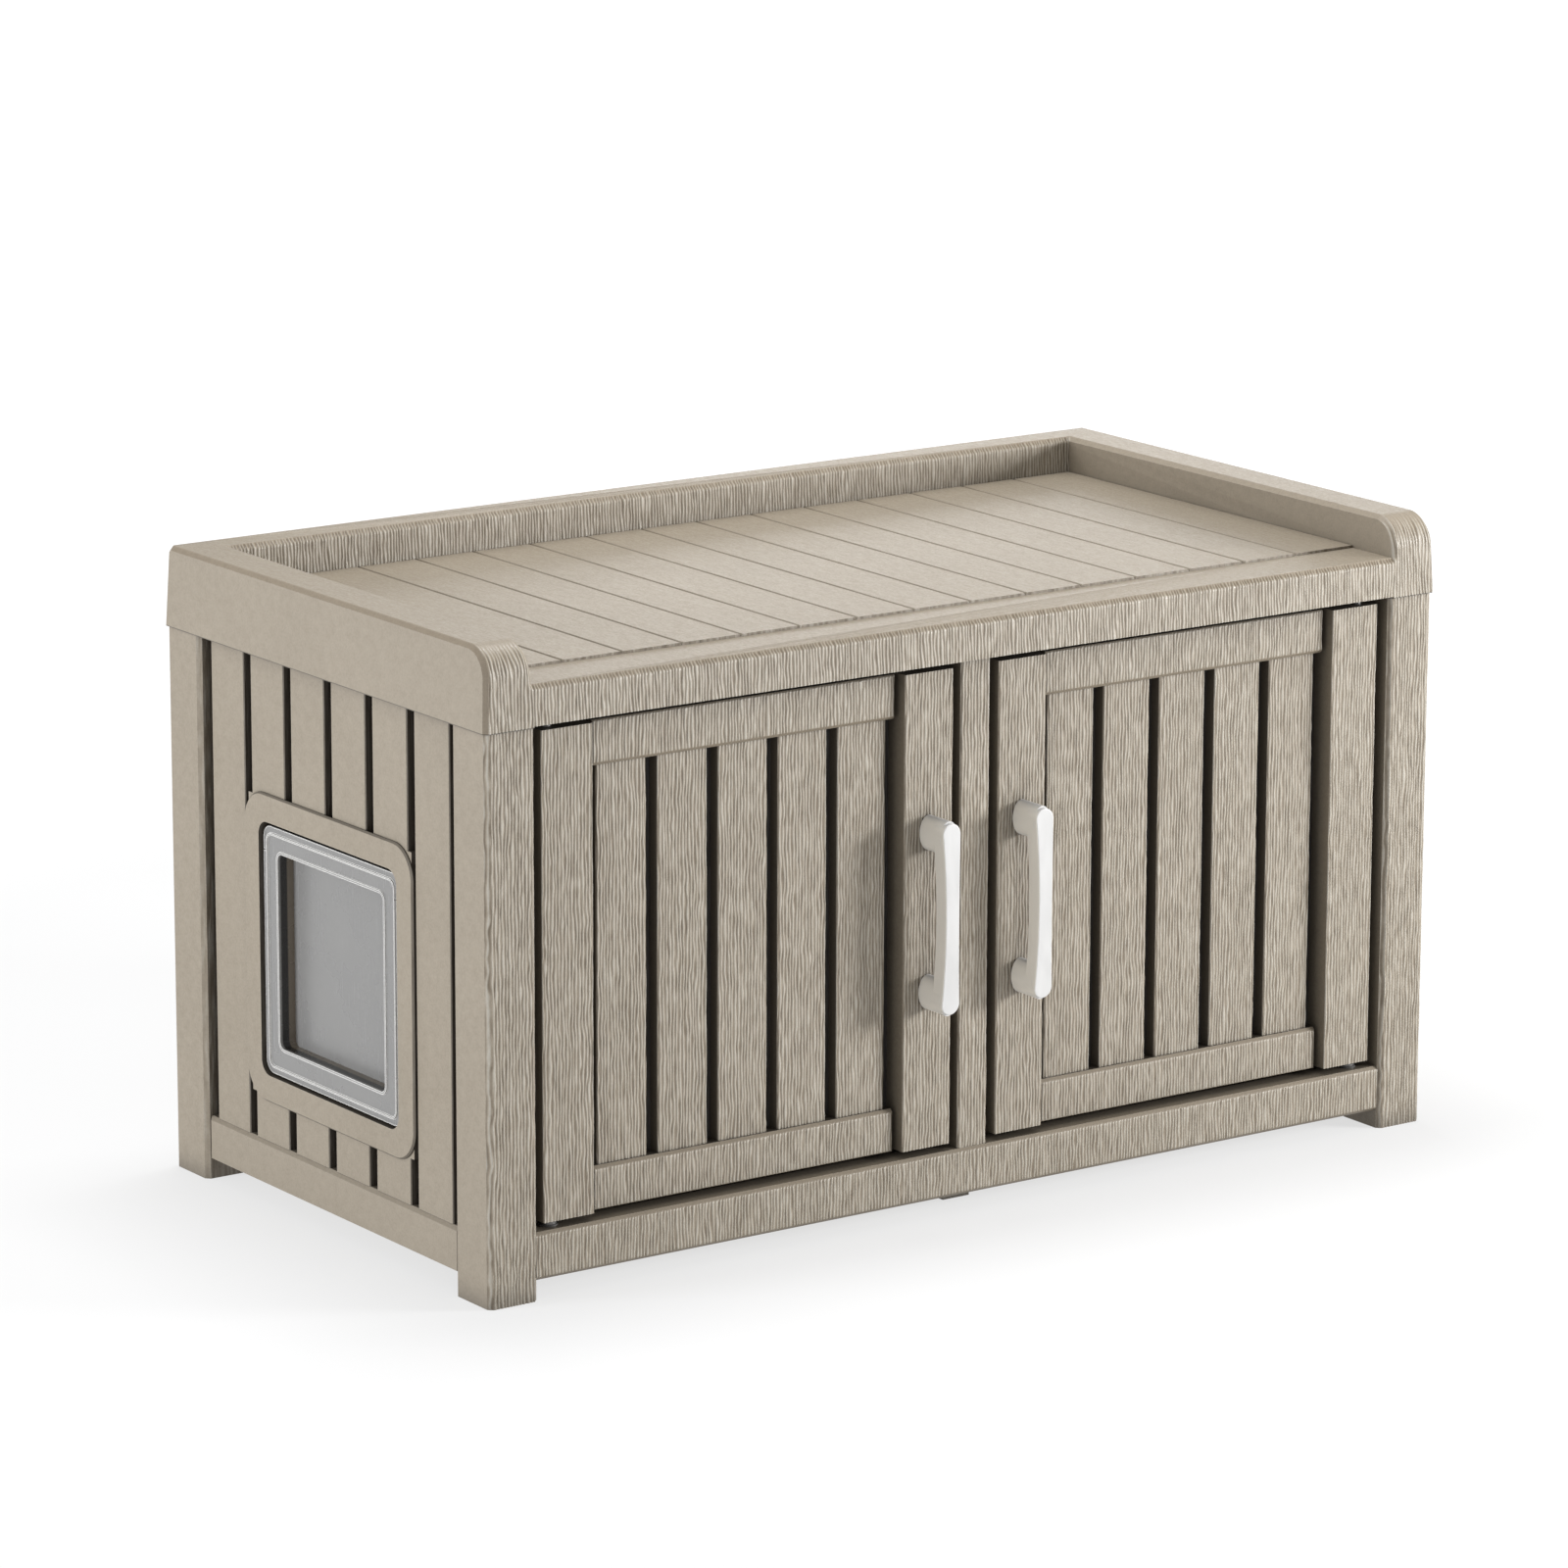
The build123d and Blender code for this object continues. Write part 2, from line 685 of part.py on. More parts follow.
def screw_heights():
    """The heights of the handle's two screws."""
    return handle_z - handle_spacing / 2, handle_z + handle_spacing / 2


def bar_outline():
    """The bar seen from the front: round ends and a waist."""
    half_end, half_waist = handle_bar_end_x / 2, handle_bar_waist_x / 2
    end_z = handle_length / 2 - half_end
    return Face(Wire([
        ThreePointArc((-half_end, end_z), (0, handle_length / 2), (half_end, end_z)),
        ThreePointArc((half_end, end_z), (half_waist, 0), (half_end, -end_z)),
        ThreePointArc((half_end, -end_z), (0, -handle_length / 2), (-half_end, -end_z)),
        ThreePointArc((-half_end, -end_z), (-half_waist, 0), (-half_end, end_z)),
    ]))


def bar_side():
    """The bar seen from the side: two parallel arcs, so that its middle stands out from its ends."""
    tip = handle_length / 2 + cut_past
    outer, inner = handle_reach, handle_reach - handle_bar_depth
    return Face(Wire([
        ThreePointArc((outer - handle_bow, tip), (outer, 0), (outer - handle_bow, -tip)),
        Line((outer - handle_bow, -tip), (inner - handle_bow, -tip)),
        ThreePointArc((inner - handle_bow, -tip), (inner, 0), (inner - handle_bow, tip)),
        Line((inner - handle_bow, tip), (outer - handle_bow, tip)),
    ]))


def make_handle():
    """The bow handle: two oval posts and a waisted bar that bows away from the door."""
    x = handle_x()
    face_plane = Plane(origin=(x, door_front_y, handle_z), x_dir=(1, 0, 0), z_dir=(0, -1, 0))
    bar = extrude(face_plane * bar_outline(), amount=handle_reach + cut_past, dir=(0, -1, 0))
    half_wide = handle_bar_end_x / 2 + cut_past
    side_plane = Plane(origin=(x - half_wide, door_front_y, handle_z), x_dir=(0, -1, 0), z_dir=(-1, 0, 0))
    bar = bar & extrude(side_plane * bar_side(), amount=2 * half_wide, dir=(1, 0, 0))
    bar = fillet(bar.faces().sort_by(Axis.Y)[0].edges(), handle_edge_round)
    handle = bar
    for z in screw_heights():
        plane = Plane(origin=(x, door_front_y, z), x_dir=(1, 0, 0), z_dir=(0, -1, 0))
        oval = Ellipse(handle_post_x / 2, handle_post_z / 2)
        handle += extrude(plane * oval, amount=handle_reach - handle_bow - handle_post_end)
    for z in screw_heights():
        handle -= rod(screw_radius, (x, door_front_y, z), (x, door_front_y - screw_in_handle, z))
    return handle


def make_handle_screws():
    """The two screws that hold the handle from behind."""
    x = handle_x()
    screws = []
    for z in screw_heights():
        shank_end = door_front_y - screw_in_handle + screw_tip_gap
        screw = rod(screw_radius - bond_gap, (x, door_back_y, z), (x, shank_end, z))
        screw += rod(screw_head_radius, (x, door_back_y, z), (x, door_back_y + screw_head, z))
        screws.append(screw)
    return Compound(screws)


def make_strike():
    """The steel plate behind the meeting stile that the magnet holds."""
    z = (catch_z0 + catch_z1) / 2
    half_x, half_z = strike_x / 2, strike_z / 2
    return block(-magnet_x - half_x, -magnet_x + half_x, door_back_y, door_back_y + strike_thick,
                 z - half_z, z + half_z)


def main():
    os.makedirs("parts", exist_ok=True)
    save_pair("leg_front", make_leg(back=False))
    save_pair("leg_back", make_leg(back=True))
    save("corner_pegs", make_pegs())
    save("base_rail_front", make_base_rail_x(back=False))
    save("base_rail_back", make_base_rail_x(back=True))
    save_pair("base_rail", make_base_rail_y())
    save("floor_board", make_floor())
    save("side_wall_left", make_side_wall(with_opening=True))
    save("side_wall_right", mirror(make_side_wall(with_opening=False), about=Plane.YZ))
    save("back_wall", make_back_wall())
    save("flap_surround", make_surround())
    save("flap_inner_frame", make_inner_frame())
    save("flap_bushes", make_flap_bushes())
    save("flap_border", make_flap_border())
    save("flap_window", make_flap_window())
    save("flap_pins", make_flap_pins())
    save("tray_frame", make_tray())
    save("deck_board", make_deck())
    save("centre_post", make_post())
    save("catch_body", make_catch())
    save("catch_magnets", make_magnets())
    save("pivot_bushes_upper", make_frame_bushes(top=True))
    save("pivot_bushes_lower", make_frame_bushes(top=False))
    save_pair("door_hinge_stile", make_hinge_stile())
    save_pair("door_meeting_stile", make_meeting_stile())
    save_pair("door_panel", make_door_panel())
    save_pair("door_top_rail", make_door_rail(top=True))
    save_pair("door_bottom_rail", make_door_rail(top=False))
    save_pair("door_planks", make_door_planks())
    save_pair("door_pivot_pins", make_pivot_pins())
    save_pair("handle", make_handle())
    save_pair("handle_screws", make_handle_screws())
    save_pair("strike_plate", make_strike())


main()
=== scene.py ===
import json
import math

import bpy
import numpy as np
from mathutils import Matrix, Vector

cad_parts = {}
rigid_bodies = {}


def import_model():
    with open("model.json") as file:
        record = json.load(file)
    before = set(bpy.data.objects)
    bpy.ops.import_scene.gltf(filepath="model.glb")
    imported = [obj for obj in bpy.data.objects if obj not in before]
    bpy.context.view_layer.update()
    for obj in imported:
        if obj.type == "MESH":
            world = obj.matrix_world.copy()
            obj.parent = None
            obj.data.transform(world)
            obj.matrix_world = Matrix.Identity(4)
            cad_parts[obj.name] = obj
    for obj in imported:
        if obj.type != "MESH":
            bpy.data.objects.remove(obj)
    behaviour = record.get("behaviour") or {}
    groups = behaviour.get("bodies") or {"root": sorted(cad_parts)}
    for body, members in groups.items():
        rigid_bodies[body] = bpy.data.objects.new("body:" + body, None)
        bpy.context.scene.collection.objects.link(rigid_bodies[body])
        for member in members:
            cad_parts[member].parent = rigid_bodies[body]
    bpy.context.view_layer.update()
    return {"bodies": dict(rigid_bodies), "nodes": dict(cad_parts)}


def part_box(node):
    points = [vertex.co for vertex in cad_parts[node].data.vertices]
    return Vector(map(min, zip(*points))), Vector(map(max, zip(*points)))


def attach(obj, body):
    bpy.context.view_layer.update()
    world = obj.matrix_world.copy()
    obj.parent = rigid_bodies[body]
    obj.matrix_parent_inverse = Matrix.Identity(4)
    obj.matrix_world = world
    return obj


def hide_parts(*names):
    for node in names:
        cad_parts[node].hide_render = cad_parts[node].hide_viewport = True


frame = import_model()

MM = 0.001

# ---- shape of the moulded boards, in metres ----
GRAIN_PITCH = 3.0 * MM          # crest to crest of the combed grain
GRAIN_DEPTH = 0.74 * MM         # crest to valley
GRAIN_STEP = 0.52 * MM          # mesh step across the grain
ROW_STEP = 2.2 * MM             # mesh step along the grain
EDGE_BEVEL = 3.6 * MM           # legs and tray
RAIL_BEVEL = 3.0 * MM           # base rails and door rails
STILE_BEVEL = 0.7 * MM          # door stiles
PLANK_BEVEL = 0.8 * MM
POST_BEVEL = 1.2 * MM
TOP_BEVEL = 1.6 * MM            # upper edge of the doors' top rails
PLANKS = 5
PLANK_WIDTH = 45.5 * MM
LEDGE_BACK = 12.0 * MM          # ledge behind the front base rail
LEDGE_LOW, LEDGE_HIGH = 22.0 * MM, 30.0 * MM
BASE_RAIL_LOW = 15.0 * MM       # lower edge of the front base rail
FOOT_HALF = 12.75 * MM
SKIRT_LEAN = math.tan(math.radians(2.5))
RAIL_END_RADIUS = 26.0 * MM
RAIL_TURN = 3.0                 # degrees between rows round the rails' front ends
RAIL_ROW = 8.0 * MM             # rows along the rails' tops
COMBED_TO, COMBING_FADE = math.radians(74), math.radians(40)    # how far round the front ends are combed
BACK_EDGE_TURNS = math.radians(112), math.radians(158)
RAIL_INNER_TOP = 414.5 * MM     # inner edge of the side rails at their top, from the middle
BEAM_INNER = 413.1 * MM         # inner face of the skirt below the deck, from the middle
STRIP_TOP = 478.2 * MM
BACK_RAIL = 32.48 * MM          # thickness of the back rail at its top
STRIP_LIFT = 1.2 * MM           # the front strip's lower edge, above the side rails' edges
STRIP_TO_DECK = 0.02 * MM
DECK_SEAT = 464.0 * MM
DECK_LEDGE = 16.0 * MM
BEVEL_STATIONS = (0.25, 0.5, 0.75, 1.0)
BEVEL_COMBING = (0.7, 0.12)     # how deep the last two rows of a combed bevel are
TINY = 1e-6

# ---- how the combed grain wanders: amount, width and length of each wave ----
GRAIN_DRIFT = ((2.0, 10 * MM, 30 * MM), (1.5, 3 * MM, 10 * MM))
GRAIN_ROUGH = (0.2, 1.3 * MM, 7 * MM)
GRAIN_FADE = (0.2, 3 * MM, 11 * MM)
CREST_SHARPNESS = 1.15
SMOOTH_BEVEL_FADE = 0.4 * MM    # how soon the combing ends at a smooth bevel
SMOOTH_BEVEL_TONE = 0.22
OUTER_BAND_FADE = 0.6 * MM      # the same at the tray's outer edges
OUTER_BAND_TONE = 0.3
COMBED_BEVEL_TONE = 0.36

# ---- which stretch of the grain each board shows ----
LEG_GRAIN = {"left": 0.0, "right": 3.1}
STILE_GRAIN = {"hinge": 0.7, "meeting": 1.4}
POST_GRAIN = 2.2
PLANK_GRAIN = {"left": 5.0, "right": 8.0}
NEXT_PLANK = 0.37
BASE_RAIL_GRAIN, TRAY_FRONT_GRAIN, BACK_RAIL_GRAIN = 11.0, 14.0, 17.0

# ---- shade in the gaps, as a share of DARK ----
GAP_SHADE, HIDDEN_SHADE, INNER_SHADE, OPEN_SHADE = 0.9, 0.6, 0.5, 0.1

# ---- colours of the moulded boards ----
# crests lighter, valleys darker: partly the grain's own two tones, partly painted light on the crests and
# painted shade in the valleys
CREST = (0.335, 0.308, 0.262)
MIDDLE = (0.222, 0.188, 0.142)
VALLEY = (0.127, 0.099, 0.067)
# DARK is the colour of painted shade in gaps, groove floors, seams and hidden faces
DARK = (0.017, 0.0125, 0.008)
# the door panels behind the boards are near-black: painted shade seen through the door gaps
PANEL_SHADE = tuple(1.4 * c for c in DARK)
# painted shade deep in corners and gaps, from ambient occlusion
CORNER_SHADE_TONE = 0.22              # share of the valley colour left deep in a corner
CORNER_SHADE_REACH = 25 * MM
OPENNESS = (0.25, 0.88)         # where the painted corner shade is full, and where it ends
EDGE_TURN = (0.99, 0.85)        # cosine of the turn where edge wear, and the flap's painted rim highlight, begin, and where they are full
SEAM_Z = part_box("tray_frame")[0].z      # where the tray sits on the legs; a thin line of painted shade runs along it

NOISE_SIZE = 256
NOISE_SHIFT = (37.7, 19.3)
rng = np.random.default_rng(7)
NOISE = rng.random((NOISE_SIZE, NOISE_SIZE)) * 2 - 1


# ---------------------------------------------------------------- grain
def wave_noise(u, v, shift):
    """Smooth noise from -1 to 1 over two coordinates."""
    u, v = u + NOISE_SHIFT[0] * shift, v + NOISE_SHIFT[1] * shift
    iu, iv = np.floor(u).astype(int), np.floor(v).astype(int)
    fu, fv = u - iu, v - iv
    fu, fv = fu * fu * (3 - 2 * fu), fv * fv * (3 - 2 * fv)

    def at(i, j):
        return NOISE[i % NOISE_SIZE, j % NOISE_SIZE]

    low = at(iu, iv) * (1 - fu) + at(iu + 1, iv) * fu
    high = at(iu, iv + 1) * (1 - fu) + at(iu + 1, iv + 1) * fu
    return low * (1 - fv) + high * fv


def grain(x, z, shift):
    """Height of the combed grain: 0 in a valley, 1 on a crest."""
    waves = (*GRAIN_DRIFT, GRAIN_ROUGH, GRAIN_FADE)
    wide, fine, rough, fade = (amount * wave_noise(x / width, z / length, k + shift)
                               for k, (amount, width, length) in enumerate(waves, 1))
    ridge = 0.5 + 0.5 * np.cos(2 * math.pi * x / GRAIN_PITCH + (wide + fine))
    depth = 1 - GRAIN_FADE[0] + fade
    return np.clip(1 - depth * (1 - ridge ** CREST_SHARPNESS) + rough, 0, 1)


# ---------------------------------------------------------------- mesh building
class Shape:
    """Collects grids and flat polygons, then makes one mesh object of them."""

    def __init__(self):
        self.points, self.faces, self.grain, self.smooth, self.shade = [], [], [], [], []

    def grid(self, points, grain_value, out):
        """A smooth grid of rows and columns. `out` is roughly the way its first face looks."""
        rows, cols = points.shape[:2]
        start = len(self.points)
        self.points += [tuple(p) for p in points.reshape(-1, 3)]
        self.grain += list(np.broadcast_to(grain_value, (rows, cols)).reshape(-1))
        self.shade += [0.0] * (rows * cols)
        a, b, c = points[0, 0], points[0, 1], points[1, 0]
        turn = np.dot(np.cross(b - a, c - a), out) < 0
        for r in range(rows - 1):
            for i in range(cols - 1):
                k = start + r * cols + i
                quad = (k, k + 1, k + cols + 1, k + cols)
                self.faces.append(quad[::-1] if turn else quad)
                self.smooth.append(True)

    def polygon(self, points, out, shade=0.0):
        """A flat face through the points, looking the way of `out`."""
        points = [np.asarray(p, float) for p in points]
        start = len(self.points)
        normal = np.zeros(3)
        for p, q in zip(points, points[1:] + points[:1]):
            normal += np.cross(p, q)
        order = list(range(start, start + len(points)))
        self.points += [tuple(p) for p in points]
        self.grain += [0.0] * len(points)
        self.shade += [shade] * len(points)
        self.faces.append(order[::-1] if np.dot(normal, out) < 0 else order)
        self.smooth.append(False)

    def block(self, x0, x1, y0, y1, z0, z1):
        """A plain hidden block."""
        for x, out in ((x0, (-1, 0, 0)), (x1, (1, 0, 0))):
            self.polygon([(x, y0, z0), (x, y1, z0), (x, y1, z1), (x, y0, z1)], out, HIDDEN_SHADE)
        for y, out in ((y0, (0, -1, 0)), (y1, (0, 1, 0))):
            self.polygon([(x0, y, z0), (x1, y, z0), (x1, y, z1), (x0, y, z1)], out, HIDDEN_SHADE)
        for z, out in ((z0, (0, 0, -1)), (z1, (0, 0, 1))):
            self.polygon([(x0, y0, z), (x1, y0, z), (x1, y1, z), (x0, y1, z)], out, HIDDEN_SHADE)

    def finish(self, name, node, slot, material):
        """Make the object, riding the node's body and shown in the node's place."""
        mesh = bpy.data.meshes.new(name)
        mesh.from_pydata(self.points, [], self.faces)
        mesh.attributes.new("grain", "FLOAT", "POINT").data.foreach_set("value", self.grain)
        mesh.attributes.new("shade", "FLOAT", "POINT").data.foreach_set("value", self.shade)
        mesh.attributes.new("carved", "FLOAT", "POINT").data.foreach_set("value", [1.0] * len(self.points))
        mesh.polygons.foreach_set("use_smooth", self.smooth)
        mesh.materials.append(material)
        mesh.update()
        obj = bpy.data.objects.new(name, mesh)
        bpy.context.scene.collection.objects.link(obj)
        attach(obj, body_of_node(node))
        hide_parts(node)


def body_of_node(node):
    """The body that a node belongs to."""
    parent = frame["nodes"][node].parent
    for name, empty in frame["bodies"].items():
        if parent == empty:
            return name
    return "cabinet"


def steps(start, end, step, extra=()):
    """Even stops from start to end, with extra stops put in."""
    count = max(2, int(round((end - start) / step)) + 1)
    stops = np.concatenate([np.linspace(start, end, count), [e for e in extra if start < e < end]])
    return np.unique(np.round(stops, 7))


def combed_board(shape, x0, x1, y0, y1, z0, z1, side=0.0, low=0.0, high=0.0, back=0.0,
                 smooth_ends=False, shift=0.0, dark_ends=0.0, dark_sides=0.0):
    """A board with a combed front (-Y).

    side, low, high and back are the widths of its bevels. smooth_ends leaves the low and high ones uncombed.
    dark_ends and dark_sides paint shade on its end and side faces.
    """
    xs = steps(x0, x1, GRAIN_STEP, (x0 + side, x1 - side))
    zs = steps(z0, z1, ROW_STEP, (z0 + low, z0 + low / 2, z1 - high, z1 - high / 2))
    X, Z = np.meshgrid(xs, zs)
    set_back = np.maximum.reduce([side - (X - x0), side - (x1 - X), low - (Z - z0), high - (z1 - Z),
                                  np.zeros_like(X)])
    comb = np.ones_like(X)
    if smooth_ends:
        on_bevel = np.maximum(low - (Z - z0), high - (z1 - Z))
        comb = np.clip(1 - on_bevel / SMOOTH_BEVEL_FADE, 0, 1)
    height = grain(X, Z, shift)
    Y = y0 + set_back + comb * (1 - height) * GRAIN_DEPTH
    points = np.stack([X, Y, Z], axis=-1)
    value = comb * (height - 0.5) - (1 - comb) * SMOOTH_BEVEL_TONE
    shape.grid(points, value, (0, -1, 0))
    ring = [(x0, y1 - back), (x0 + back, y1), (x1 - back, y1), (x1, y1 - back)]
    for row, z, out in ((points[0], z0, -1), (points[-1], z1, 1)):
        shape.polygon(list(row) + [(x, y, z) for x, y in reversed(ring)], (0, 0, out), dark_ends)
    for column, x, out in ((points[:, 0], x0, -1), (points[:, -1], x1, 1)):
        shape.polygon(list(column) + [(x, y1 - back, z1), (x, y1 - back, z0)], (out, 0, 0), dark_sides)
    for (xa, ya), (xb, yb) in zip(ring, ring[1:]):
        if abs(xa - xb) + abs(ya - yb) > TINY:
            shape.polygon([(xa, ya, z0), (xb, yb, z0), (xb, yb, z1), (xa, ya, z1)], (0, 1, 0))


# ---------------------------------------------------------------- materials
class Graph:
    """Short ways to add shader nodes to one material."""

    def __init__(self, name):
        self.material = bpy.data.materials.new(name)
        self.material.use_nodes = True
        self.tree = self.material.node_tree
        self.surface = self.tree.nodes["Principled BSDF"]
        self.coords = self.add("ShaderNodeTexCoord").outputs["Object"]

    def add(self, kind, **settings):
        node = self.tree.nodes.new(kind)
        for key, value in settings.items():
            setattr(node, key, value)
        return node

    def put(self, socket, value):
        if isinstance(value, bpy.types.NodeSocket):
            self.tree.links.new(value, socket)
        else:
            socket.default_value = value

    def stretched(self, x, y, z):
        """Coordinates with their own cells to the metre along each axis."""
        node = self.add("ShaderNodeMapping")
        self.put(node.inputs["Vector"], self.coords)
        node.inputs["Scale"].default_value = (x, y, z)
        return node.outputs["Vector"]

    def noise(self, scale, detail=2.0, roughness=0.5, vector=None, distortion=0.0):
        """Smooth noise. scale is in cells to the metre."""
        node = self.add("ShaderNodeTexNoise")
        self.put(node.inputs["Vector"], vector or self.coords)
        node.inputs["Scale"].default_value = scale
        node.inputs["Detail"].default_value = detail
        node.inputs["Roughness"].default_value = roughness
        node.inputs["Distortion"].default_value = distortion
        return node.outputs["Fac"]

    def math(self, operation, a, b=0.0):
        node = self.add("ShaderNodeMath", operation=operation)
        self.put(node.inputs[0], a)
        self.put(node.inputs[1], b)
        return node.outputs[0]

    def spread(self, value, from_low, from_high, to_low, to_high):
        """The value, taken from one range to another and held within it."""
        node = self.add("ShaderNodeMapRange")
        self.put(node.inputs["Value"], value)
        limits = {"From Min": from_low, "From Max": from_high, "To Min": to_low, "To Max": to_high}
        for key, number in limits.items():
            node.inputs[key].default_value = number
        return node.outputs["Result"]

    def ramp(self, value, *stops):
        node = self.add("ShaderNodeValToRGB")
        self.put(node.inputs["Fac"], value)
        ramp = node.color_ramp
        while len(ramp.elements) < len(stops):
            ramp.elements.new(0.5)
        for element, (place, colour) in zip(ramp.elements, stops):
            element.position = place
            element.color = (*colour, 1.0)
        return node.outputs["Color"]

    def mix(self, factor, a, b, blend="MIX"):
        node = self.add("ShaderNodeMix", data_type="RGBA", blend_type=blend)
        self.put(node.inputs[0], factor)
        for socket, value in ((node.inputs[6], a), (node.inputs[7], b)):
            self.put(socket, value if isinstance(value, bpy.types.NodeSocket) else (*value, 1.0))
        return node.outputs[2]

    def bump(self, height, strength, distance, normal=None):
        node = self.add("ShaderNodeBump")
        self.put(node.inputs["Height"], height)
        node.inputs["Strength"].default_value = strength
        node.inputs["Distance"].default_value = distance
        if normal is not None:
            self.put(node.inputs["Normal"], normal)
        return node.outputs["Normal"]

    def attribute(self, name):
        return self.add("ShaderNodeAttribute", attribute_name=name).outputs["Fac"]

    def place(self, axis):
        """The coordinate along the axis, in the object's own frame."""
        node = self.add("ShaderNodeSeparateXYZ")
        self.put(node.inputs[0], self.coords)
        return node.outputs[axis]

    def facing(self, axis):
        """How far the surface looks along the axis, 0 to 1, either way."""
        normal = self.add("ShaderNodeNewGeometry").outputs["Normal"]
        node = self.add("ShaderNodeSeparateXYZ")
        self.put(node.inputs[0], normal)
        return self.math("ABSOLUTE", node.outputs[axis])

    def edge(self, radius, samples=3):
        """1 near a convex or concave edge, 0 on flat ground."""
        node = self.add("ShaderNodeBevel", samples=samples)
        node.inputs["Radius"].default_value = radius
        dot = self.add("ShaderNodeVectorMath", operation="DOT_PRODUCT")
        self.put(dot.inputs[0], node.outputs["Normal"])
        self.put(dot.inputs[1], self.add("ShaderNodeNewGeometry").outputs["Normal"])
        return self.spread(dot.outputs["Value"], *EDGE_TURN, 0.0, 1.0)

    def corners(self, reach, depth):
        """`depth` deep in a corner or gap, 0 in the open: where painted shade gathers."""
        node = self.add("ShaderNodeAmbientOcclusion", samples=5)
        node.inputs["Distance"].default_value = reach
        return self.spread(node.outputs["AO"], *OPENNESS, depth, 0.0)

    def done(self, colour, roughness, normal=None, **values):
        self.put(self.surface.inputs["Base Color"], colour)
        self.put(self.surface.inputs["Roughness"], roughness)
        if normal is not None:
            self.put(self.surface.inputs["Normal"], normal)
        for key, value in values.items():
            self.surface.inputs[key.replace("_", " ")].default_value = value
        return self.material


def composite(name, crest, middle, valley, gloss, recess=None, dark_edges=False, corner_shade=0.8):
    """Moulded wood-plastic: combed front and back faces, finely mottled everywhere else.

    recess is (axis, dark from, light from): how far from the middle the bottoms of the grooves lie, which
    are painted in shade. dark_edges paints shade on whatever doesn't look left or right. The last argument
    sets how dark the painted shade in the corners is.
    """
    g = Graph(name)
    # combing of the faces whose grain isn't in the mesh
    bare = g.math("SUBTRACT", 1.0, g.attribute("carved"))
    front = g.spread(g.facing(1), 0.55, 0.9, 0.0, 1.0)
    lines = g.spread(g.noise(1.0, 2.0, 0.5, g.stretched(300, 60, 34), 0.25), 0.3, 0.7, -0.5, 0.5)
    lines = g.math("MULTIPLY", lines, g.math("MULTIPLY", front, bare))
    # tone by height, partly the grain's own two tones and partly painted light on the crests and painted
    # shade in the valleys, then patches, specks and rubbed edges
    height = g.math("ADD", g.attribute("grain"), lines)
    tone = g.spread(height, -0.5, 0.5, 0.0, 1.0)
    colour = g.ramp(tone, (0.0, valley), (0.5, middle), (1.0, crest))
    patches = g.ramp(g.noise(9.0, 3.0, 0.6), (0.3, (0.97, 0.967, 0.96)), (0.7, (1.03, 1.03, 1.03)))
    colour = g.mix(1.0, colour, patches, "MULTIPLY")
    mottle = g.noise(520.0, 3.0, 0.65)
    streaks = g.noise(1.0, 2.0, 0.6, g.stretched(420, 110, 130))
    fleck = g.math("ADD", g.math("MULTIPLY", mottle, 0.6), g.math("MULTIPLY", streaks, 0.4))
    specks = g.ramp(fleck, (0.36, (0.92, 0.91, 0.90)), (0.5, (1, 1, 1)), (0.64, (1.07, 1.07, 1.07)))
    colour = g.mix(1.0, colour, specks, "MULTIPLY")
    worn = g.math("MULTIPLY", g.edge(1.2 * MM), g.spread(mottle, 0.35, 0.65, 0.1, 0.55))
    colour = g.mix(worn, colour, crest)
    # shade in the grooves, gaps and corners
    # groove floors painted in shade
    if recess:
        axis, dark_from, light_from = recess
        depth = g.spread(g.math("ABSOLUTE", g.place(axis)), dark_from, light_from, 1.0, 0.0)
        if axis == 2:
            depth = g.math("MULTIPLY", depth, g.math("SUBTRACT", 1.0, front))
        colour = g.mix(depth, colour, DARK)
    # painted shade on whatever doesn't look left or right: groove walls and edge faces
    if dark_edges:
        colour = g.mix(g.spread(g.facing(0), 0.6, 0.92, 0.8, 0.0), colour, DARK)
    # a thin line of painted shade along the seam where the tray sits on the legs
    seam = g.math("ABSOLUTE", g.math("SUBTRACT", g.place(2), SEAM_Z))
    colour = g.mix(g.spread(seam, 0.35 * MM, 0.8 * MM, 0.75, 0.0), colour, DARK)
    # painted shade from each mesh's shade attribute
    colour = g.mix(g.attribute("shade"), colour, DARK)
    # painted shade in corners and gaps, from ambient occlusion
    colour = g.mix(g.corners(CORNER_SHADE_REACH, corner_shade), colour, tuple(CORNER_SHADE_TONE * c for c in valley))
    rough = g.spread(fleck, 0.35, 0.65, gloss + 0.1, gloss - 0.06)
    normal = g.bump(g.noise(1300.0, 2.0, 0.6), 0.25, 0.12 * MM)
    normal = g.bump(fleck, 0.5, 0.22 * MM, normal)
    normal = g.bump(lines, 0.9, 0.5 * MM, normal)
    return g.done(colour, rough, normal, Specular_IOR_Level=0.5)


def plastic(name, colour, gloss, fine=900.0, relief=0.05, side_light_tint=None):
    """Moulded plastic with a fine even texture, faint flow marks and rubbed edges.

    relief is in millimetres. The last argument is painted bounce light: a brighter, warmer tint for whatever
    looks left or right.
    """
    g = Graph(name)
    grit = g.noise(fine, 2.0, 0.6)
    flow = g.noise(1.0, 2.0, 0.5, g.stretched(60, 60, 22), 0.4)
    dim = tuple(c * 0.93 for c in colour)
    bright = tuple(min(1.0, c * 1.03) for c in colour)
    tint = g.ramp(flow, (0.35, dim), (0.65, bright))
    rubbed = tuple(min(1.0, c * 1.12 + 0.01) for c in colour)
    tint = g.mix(g.math("MULTIPLY", g.edge(0.8 * MM), 0.25), tint, rubbed)
    # painted bounce light on the sides
    if side_light_tint:
        tint = g.mix(g.spread(g.facing(0), 0.35, 0.9, 0.0, 1.0), tint, side_light_tint)
    rough = g.spread(grit, 0.3, 0.7, gloss - 0.05, gloss + 0.08)
    return g.done(tint, rough, g.bump(grit, 0.3, relief * MM), Specular_IOR_Level=0.5)


